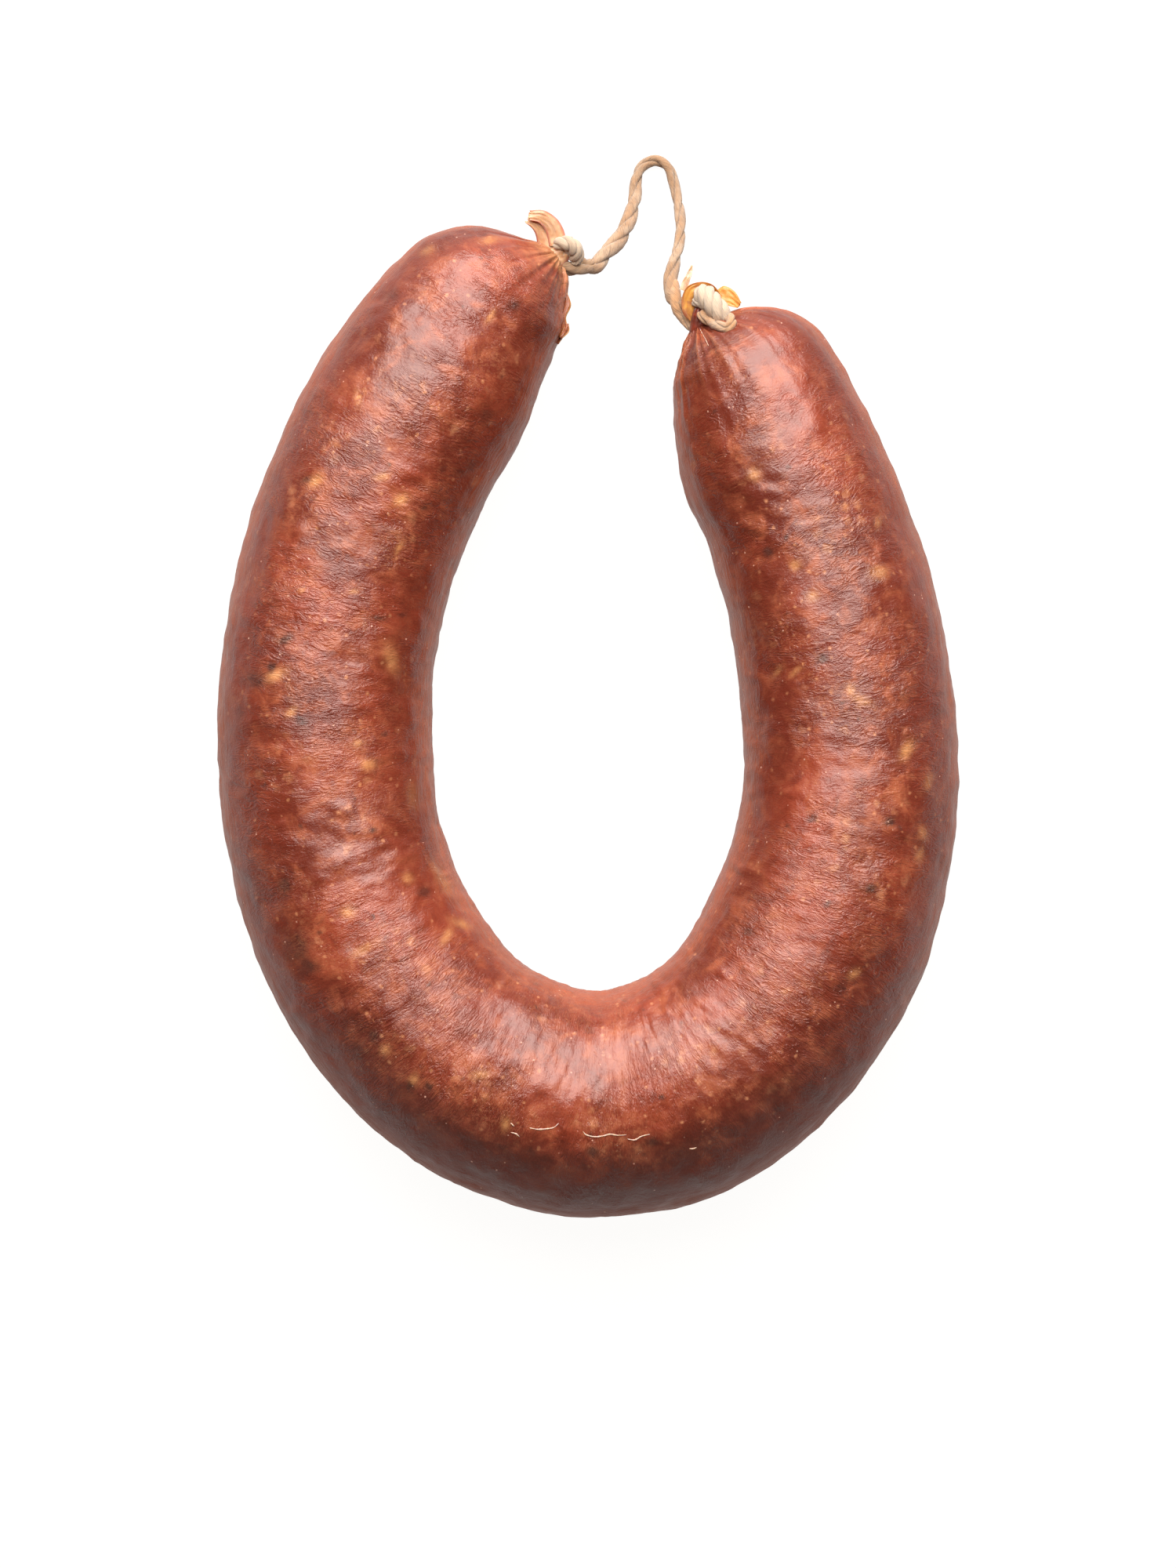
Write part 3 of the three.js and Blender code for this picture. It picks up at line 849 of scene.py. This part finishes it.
def crumbs_group():
    """Scattered soft-edged crumbs: only some cells of the pattern hold one."""
    if "crumbs" in bpy.data.node_groups:
        return bpy.data.node_groups["crumbs"]
    numbers = {"Scale": 200.0, "Size": 0.3, "Softness": 0.15, "Share": 0.3, "Wobble": 0.002}
    tree, f, entry, leave = new_group("crumbs", numbers, "Mask")
    wobble = f.add("ShaderNodeTexNoise", {"Vector": entry["Vector"], "Scale": 650.0, "Detail": 2.0}).outputs["Color"]
    centred = f.vector_math("SUBTRACT", {0: wobble, 1: (0.5, 0.5, 0.5)})
    shift = f.vector_math("SCALE", {0: centred, "Scale": entry["Wobble"]})
    moved = f.vector_math("ADD", {0: entry["Vector"], 1: shift})
    cells = f.add("ShaderNodeTexVoronoi", {"Vector": moved, "Scale": entry["Scale"]}).outputs
    pick, sized, _ = f.add("ShaderNodeSeparateColor", {"Color": cells["Color"]}).outputs
    chosen = f.math("LESS_THAN", pick, entry["Share"])
    size = f.times(entry["Size"], f.span(sized, 0.0, 1.0, 0.45, 1.0))
    inside = f.math("SUBTRACT", size, cells["Distance"])
    soft = f.math("DIVIDE", inside, entry["Softness"], clamp=True)
    f.fill(leave, {"Mask": f.times(soft, chosen)})
    return tree


def crepe_group():
    """Fine shrinkage wrinkles: sharp valleys between rounded ridges, drawn out along one direction."""
    if "crepe" in bpy.data.node_groups:
        return bpy.data.node_groups["crepe"]
    tree, f, entry, leave = new_group("crepe", {"Scale": 600.0, "Bend": 0.6}, "Height")
    raw = f.noise(entry["Vector"], entry["Scale"], 3.0, 0.5, entry["Bend"])
    off = f.math("ABSOLUTE", f.math("SUBTRACT", raw, 0.5))
    f.fill(leave, {"Height": f.math("POWER", f.math("MULTIPLY", off, 4.0, clamp=True), 0.75)})
    return tree


def new_material(name):
    material = bpy.data.materials.new(name)
    material.use_nodes = True
    material.node_tree.nodes.clear()
    f = Finish(material.node_tree)
    shader = f.add("ShaderNodeBsdfPrincipled")
    f.add("ShaderNodeOutputMaterial", {"Surface": shader.outputs[0]})
    return material, f, shader


def scatter(weight, radius):
    """Shader values for light that spreads under the surface, with its reach in metres by colour."""
    return {"Subsurface Weight": weight, "Subsurface Radius": radius, "Subsurface Scale": 1.0}


def casing_colour(f, casing, place, laid):
    """The meat seen through the casing, with painted shade and rim light on its sides and bend and painted light and
    shade on its gathers, and the mottle that its gloss follows.
    """
    # broad and fine patches of lean and fat meat
    broad = f.noise(place, 45.0, 3.0, 0.55)
    mottle = f.noise(place, 230.0, 4.0, 0.62, 0.5)
    body = f.blend(f.span(broad, 0.32, 0.68), casing.deep, casing.middle)
    body = f.blend(f.span(mottle, 0.44, 0.74, 0.0, 0.75), body, casing.warm)
    body = f.blend(f.span(mottle, 0.52, 0.26, 0.0, 0.6), body, casing.deep)
    # crumbs of fat and pepper
    clusters = f.span(f.noise(f.stretched(place, (1, 1, 1), (3, 1, 2)), 75.0, 2.0), 0.38, 0.66)
    flecks = f.crumbs(place, 360.0, 0.5, 0.55, 0.42, 0.0022)
    body = f.blend(f.times(flecks, clusters, 0.72), body, casing.fat)
    body = f.blend(f.times(f.crumbs(place, 760.0, 0.42, 0.3, 0.16, 0.0008), 0.6), body, casing.fat)
    dark = f.noise(f.stretched(place, (1, 1, 1), (7, 3, 5)), 300.0, 4.0, 0.62, 0.3)
    body = f.blend(f.span(dark, 0.54, 0.74, 0.0, 0.7), body, casing.deep)
    body = f.blend(f.times(f.crumbs(place, 300.0, 0.24, 0.2, 0.2, 0.0016), 0.8), body, casing.pepper)
    # the placed marks
    glow = f.math("MULTIPLY", f.attribute("fat_mark"), f.span(mottle, 0.3, 0.66, 0.4, 1.0), clamp=True)
    body = f.blend(f.times(glow, 0.82), body, casing.bright_fat)
    shade = f.math("MULTIPLY", f.attribute("dark_mark"), f.span(dark, 0.3, 0.6, 0.7, 1.8), clamp=True)
    body = f.blend(f.times(shade, 0.8), body, casing.pepper)
    # thin wisps across the sausage
    wisps = f.noise(f.stretched(laid, (1, 0.35, 0.35)), 900.0, 3.0, 0.6, 1.6)
    off = f.math("ABSOLUTE", f.math("SUBTRACT", wisps, 0.5))
    thin = f.math("SUBTRACT", 1.0, f.times(off, 26.0), clamp=True)
    body = f.blend(f.times(thin, clusters, 0.22), body, casing.fat)
    # smoke stain with painted shade on the outside of the bend, back to the plain tone at its rim; then painted shade
    # and painted rim light down the sides
    smoked = f.times(f.attribute("low_bend"), f.span(mottle, 0.25, 0.6, 0.95, 0.6))
    # smoke stain with painted shade: darker on the outer side of the bend, which faces away from the light
    body = f.blend(smoked, body, casing.smoke)
    body = f.blend(f.times(f.attribute("low_rim"), 0.8), body, casing.middle)
    upward = f.attribute("upward")
    # painted shade: darker part way down the sides, less towards the rim, except on the inside of the bend that faces
    # the light
    side_shade = f.times(f.span(upward, 0.95, 0.7), f.span(upward, 0.2, 0.5, 0.25, 1.0))
    body = f.blend(f.times(side_shade, f.attribute("shaded_flank"), 0.6), body, casing.deep)
    # painted rim light: a warmer, paler tone on the lower sides and underneath
    body = f.blend(f.span(upward, 0.6, 0.26, 0.0, 0.55), body, casing.warm)
    # the gathers and both ends
    fold = f.attribute("fold")
    # painted light and shade on the gathers: paler on the fold crests, darker in the fold valleys
    body = f.blend(f.span(fold, 0.05, 0.6, 0.0, 0.22), body, casing.fat)
    body = f.blend(f.span(fold, -0.05, -0.5, 0.0, 0.5), body, casing.deep)
    left_end = f.total(f.attribute("left_end"), f.span(mottle, 0.3, 0.7, -0.2, 0.2))
    body = f.blend(f.span(left_end, 0.15, 0.95, 0.0, 0.85), body, casing.dry_end)
    body = f.blend(f.times(f.attribute("right_end"), 0.5), body, casing.deep)
    dots = f.crumbs(place, 1300.0, 0.3, 0.14, 0.035, 0.0002)
    return f.blend(f.times(dots, 0.5), body, casing.dot), mottle


def casing_material(casing):
    """Smoked casing: glossy and wrinkled across on top, duller and drawn lengthwise down the sides."""
    material, f, shader = new_material("smoked_casing")
    place, laid = f.place(), f.attribute("laid", "Vector")
    tone, mottle = casing_colour(f, casing, place, laid)
    upward = f.attribute("upward")
    patch = f.span(f.noise(place, 70.0, 3.0, 0.6), 0.38, 0.62, 0.16, 1.0)
    top = f.times(f.span(upward, 0.25, 0.75), patch)
    across = f.crepe(laid, (1, 0.40, 0.40), 560.0, 2.0)
    fine_across = f.crepe(laid, (1, 0.42, 0.42), 1500.0, 1.0)
    along = f.crepe(laid, (0.16, 1, 1), 760.0, 0.8)
    drawn = f.times(f.crepe(laid, (1, 0.24, 0.24), 480.0, 1.1), f.attribute("bend"), f.span(upward, 0.4, 0.8))
    grain = f.noise(place, 2300.0, 3.0, 0.6)
    pits = f.noise(place, 700.0, 3.0, 0.55, 0.5)
    height = f.total(
        f.times(across, top, 0.12), f.times(drawn, patch, 0.075), f.times(fine_across, top, 0.035),
        f.times(along, f.span(upward, 0.75, 0.25), 0.11), f.times(grain, 0.05), f.times(pits, 0.10),
    )
    matt = f.total(f.span(upward, 0.62, 0.3, 0.0, 0.10), f.times(f.attribute("low_bend"), 0.13))
    f.fill(shader, {
        "Base Color": tone, "Normal": f.relief(height),
        "Roughness": f.total(f.span(mottle, 0.25, 0.75, 0.27, 0.38), matt),
        "Specular IOR Level": 0.66, "Specular Tint": (1.0, 0.86, 0.80, 1),
        **scatter(0.12, (0.0030, 0.0010, 0.0006)),
    })
    return material


def string_material(name, string, smoke, stain_tone):
    """Twisted cotton with dirt and painted shade in its grooves. `smoke` says how much of it is stained."""
    material, f, shader = new_material(name)
    laid = f.attribute("laid", "Vector")
    fibres = f.noise(f.stretched(laid, (0.35, 1, 1)), 7.0, 4.0, 0.65)
    fine = f.noise(f.stretched(laid, (0.5, 1, 1)), 24.0, 3.0, 0.6)
    patches = f.noise(f.place(), 190.0, 3.0, 0.6)
    stain = f.math("MULTIPLY", f.span(patches, 0.34, 0.66, 0.6, 1.1), smoke, clamp=True)
    tone = f.blend(stain, string.cream, stain_tone)
    # dirt with painted shade: darker where the plies meet and in the valleys of the fibre relief
    groove_dirt_and_shade = f.total(f.times(f.attribute("groove"), 0.6), f.span(fibres, 0.52, 0.34, 0.0, 0.7))
    tone = f.blend(f.math("MULTIPLY", groove_dirt_and_shade, 0.42 + 0.5 * smoke, clamp=True), tone, string.grime_and_shade)
    tone = f.blend(f.span(fine, 0.55, 0.75, 0.0, 0.5 - 0.3 * min(smoke, 1)), tone, string.cream)
    f.fill(shader, {
        "Base Color": tone, "Normal": f.relief(f.total(f.times(fibres, 0.16), f.times(fine, 0.07))),
        "Roughness": 0.8, "Specular IOR Level": 0.3, "Sheen Weight": 0.25,
        **scatter(0.15, (0.0012, 0.0008, 0.0005)),
    })
    return material


def dry_material(name, main, inner, edge, rib):
    """Dried empty casing: patches of two tones, another at its edges and paler ribs along it."""
    material, f, shader = new_material(name)
    patches = f.noise(f.place(), 420.0, 3.0, 0.6)
    ribs = f.noise(f.stretched(f.attribute("laid", "Vector"), (0.6, 2.0, 2.0)), 1.6, 2.0, 0.5)
    tone = f.blend(f.span(patches, 0.35, 0.65), main, inner)
    tone = f.blend(f.times(f.span(f.attribute("edge"), 0.65, 0.95), 0.75), tone, edge)
    tone = f.blend(f.times(f.span(ribs, 0.5, 0.7), 0.14), tone, rib)
    f.fill(shader, {
        "Base Color": tone, "Normal": f.relief(f.times(ribs, 0.07)), "Roughness": 0.45,
        **scatter(0.3, (0.0016, 0.0007, 0.0002)),
    })
    return material


# ---- operators --------------------------------------------------------------------------------------

CAMERA_OVER_Y = -0.0132  # the camera stands over the middle of the view
FLOOR_REACH, FLOOR_DROP = 8.0, 0.0002
SOFTBOX_SIZE = (0.95, 1.0)
SOFTBOX_TILT = math.radians(42)  # from overhead towards +Y
SOFTBOX_DISTANCE = 0.8
SOFTBOX_AIM = Vector((0, -0.01, 0.02))


class SAUSAGE_OT_camera(Operator):
    """Put the camera straight above the sausage"""

    bl_idname = "sausage.camera"
    bl_label = "Camera"

    def execute(self, context):
        studio = settings("sausage_studio")
        data = bpy.data.cameras.new("overhead")
        data.lens, data.sensor_width = studio.lens, 36
        view_level = 0.5 * CAD_BOX[1].z
        distance = studio.view_height * studio.lens / data.sensor_width
        camera = bpy.data.objects.new("overhead", data)
        camera.location = (0, CAMERA_OVER_Y, view_level + distance)
        data.clip_start, data.clip_end = 0.01, 10
        context.scene.collection.objects.link(camera)
        context.scene.camera = camera
        return {"FINISHED"}


class SAUSAGE_OT_free_string(Operator):
    """Lay the free string between the two ends"""

    bl_idname = "sausage.free_string"
    bl_label = "Free string"

    def execute(self, context):
        free_string()
        return {"FINISHED"}


class SAUSAGE_OT_stuffed_casing(Operator):
    """Build the stuffed casing with its lumps, wrinkles and gathers"""

    bl_idname = "sausage.stuffed_casing"
    bl_label = "Stuffed casing"

    def execute(self, context):
        stuffed_casing()
        return {"FINISHED"}


class SAUSAGE_OT_casing_ends(Operator):
    """Build the gathered neck and the empty casing beyond the ties"""

    bl_idname = "sausage.casing_ends"
    bl_label = "Casing ends"

    def execute(self, context):
        casing_ends()
        return {"FINISHED"}


class SAUSAGE_OT_cracks(Operator):
    """Lay the thin cracks of lifted skin on the casing"""

    bl_idname = "sausage.cracks"
    bl_label = "Cracks"

    def execute(self, context):
        body = bpy.data.objects.get("stuffed_casing")
        if body is None:
            raise RuntimeError("build the stuffed casing first")
        cracks(body)
        return {"FINISHED"}


class SAUSAGE_OT_knots(Operator):
    bl_idname = "sausage.knots"
    bl_label = "Knots"

    def execute(self, context):
        body = bpy.data.objects.get("stuffed_casing")
        piece = bpy.data.objects.get("free_string")
        if body is None or piece is None:
            raise RuntimeError("build the stuffed casing and the free string first")
        ties = knots(body)
        string = settings("sausage_string")
        line, run = even_curve(STRING_ROUTE, 81)
        return {"FINISHED"}


class SAUSAGE_OT_stage(Operator):
    """Lay the floor and set the lights"""

    bl_idname = "sausage.stage"
    bl_label = "Floor and lights"

    def execute(self, context):
        studio = settings("sausage_studio")
        bm = bmesh.new()
        bmesh.ops.create_grid(bm, x_segments=1, y_segments=1, size=FLOOR_REACH)
        mesh = bpy.data.meshes.new("floor")
        bm.to_mesh(mesh)
        bm.free()
        floor = bpy.data.objects.new("floor", mesh)
        floor.location.z = -FLOOR_DROP
        context.scene.collection.objects.link(floor)
        material, f, shader = new_material("pale_floor")
        seen = f.add("ShaderNodeLightPath").outputs["Is Camera Ray"]
        glow = f.add("ShaderNodeMapRange", {"Value": seen, "To Min": studio.bounce, "To Max": studio.floor_glow})
        f.fill(shader, {
            "Base Color": (*studio.floor, 1), "Roughness": 0.9, "Specular IOR Level": 0.1,
            "Emission Color": (1, 0.99, 0.975, 1), "Emission Strength": glow.outputs["Result"],
        })
        mesh.materials.append(material)
        light = bpy.data.lights.new("softbox", "AREA")
        light.shape = "RECTANGLE"
        light.size, light.size_y = SOFTBOX_SIZE
        light.energy = studio.key_power
        lamp = bpy.data.objects.new("softbox", light)
        towards = Vector((0.0, math.sin(SOFTBOX_TILT), math.cos(SOFTBOX_TILT)))
        lamp.location = SOFTBOX_AIM + towards * SOFTBOX_DISTANCE
        lamp.rotation_mode = "QUATERNION"
        lamp.rotation_quaternion = towards.to_track_quat("Z", "Y")
        context.scene.collection.objects.link(lamp)
        world = bpy.data.worlds.new("studio")
        world.use_nodes = True
        sky = world.node_tree.nodes["Background"]
        sky.inputs["Color"].default_value = (1, 0.985, 0.97, 1)
        sky.inputs["Strength"].default_value = studio.fill
        context.scene.world = world
        context.scene.view_settings.view_transform = "Standard"
        context.scene.view_settings.look = "None"
        return {"FINISHED"}


class SAUSAGE_PT_panel(Panel):
    """The sausage's pieces, in the order they are built"""

    bl_label = "Tied smoked sausage"
    bl_idname = "SAUSAGE_PT_panel"
    bl_space_type = "VIEW_3D"
    bl_region_type = "UI"
    bl_category = "Sausage"

    def draw(self, context):
        for operator in OPERATORS:
            self.layout.operator(operator.bl_idname)
        for name in GROUPS:
            group = getattr(context.scene, name)
            box = self.layout.box()
            for key in group.__annotations__:
                box.prop(group, key)


GROUPS = {
    "sausage_casing": SAUSAGE_PG_casing,
    "sausage_ends": SAUSAGE_PG_ends,
    "sausage_string": SAUSAGE_PG_string,
    "sausage_studio": SAUSAGE_PG_studio,
}
OPERATORS = [
    SAUSAGE_OT_camera,
    SAUSAGE_OT_free_string,
    SAUSAGE_OT_stuffed_casing,
    SAUSAGE_OT_casing_ends,
    SAUSAGE_OT_cracks,
    SAUSAGE_OT_knots,
    SAUSAGE_OT_stage,
]


def register():
    for made in (*GROUPS.values(), *OPERATORS, SAUSAGE_PT_panel):
        bpy.utils.register_class(made)
    for name, group in GROUPS.items():
        setattr(bpy.types.Scene, name, PointerProperty(type=group))


def unregister():
    for name in GROUPS:
        delattr(bpy.types.Scene, name)
    for made in reversed((*GROUPS.values(), *OPERATORS, SAUSAGE_PT_panel)):
        bpy.utils.unregister_class(made)


def main():
    register()
    for operator in OPERATORS:
        group, name = operator.bl_idname.split(".")
        getattr(getattr(bpy.ops, group), name)()
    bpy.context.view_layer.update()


if __name__ == "__main__":
    main()
